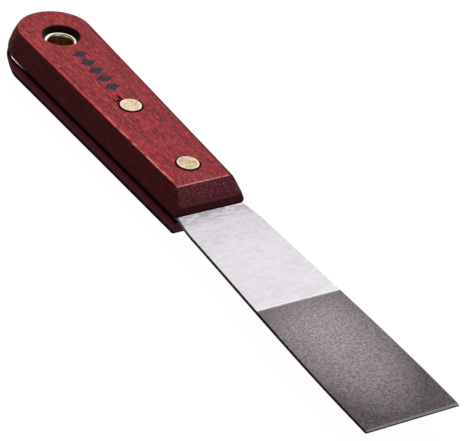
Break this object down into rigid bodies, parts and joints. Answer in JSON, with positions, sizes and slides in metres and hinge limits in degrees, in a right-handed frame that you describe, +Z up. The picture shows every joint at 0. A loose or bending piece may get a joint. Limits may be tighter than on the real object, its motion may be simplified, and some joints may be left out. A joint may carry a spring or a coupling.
{
  "type": "putty knife",
  "caption": "Stiff flat putty knife with a full-tang steel blade, riveted hardwood scales and a brass-lined hang hole.",
  "frame": {"origin": "middle of the bounding box, on the plane that the lower scale's outer face rests on", "axes": "+Y towards the butt and the hang hole, -Y towards the blade's tip, +X to the right seen from above with the tip towards the viewer, +Z up through the upper scale"},
  "size_m": [0.0322, 0.2248, 0.0168],
  "materials": {
    "steel": "cross-ground near the handle, finer and darker past the grind line",
    "hardwood": "red-brown dyed hardwood, satin sanded",
    "rivet_brass": "satin, faced off",
    "eyelet_brass": "bright rolled rims, tarnished bore"
  },
  "bodies": {
    "root": {"blade": "steel", "upper_scale": "hardwood", "lower_scale": "hardwood", "front_rivet_post": "rivet_brass", "front_rivet_sleeve": "rivet_brass", "rear_rivet_post": "rivet_brass", "rear_rivet_sleeve": "rivet_brass", "hang_hole_eyelet": "eyelet_brass", "hang_hole_washer": "eyelet_brass"}
  },
  "joints": []
}
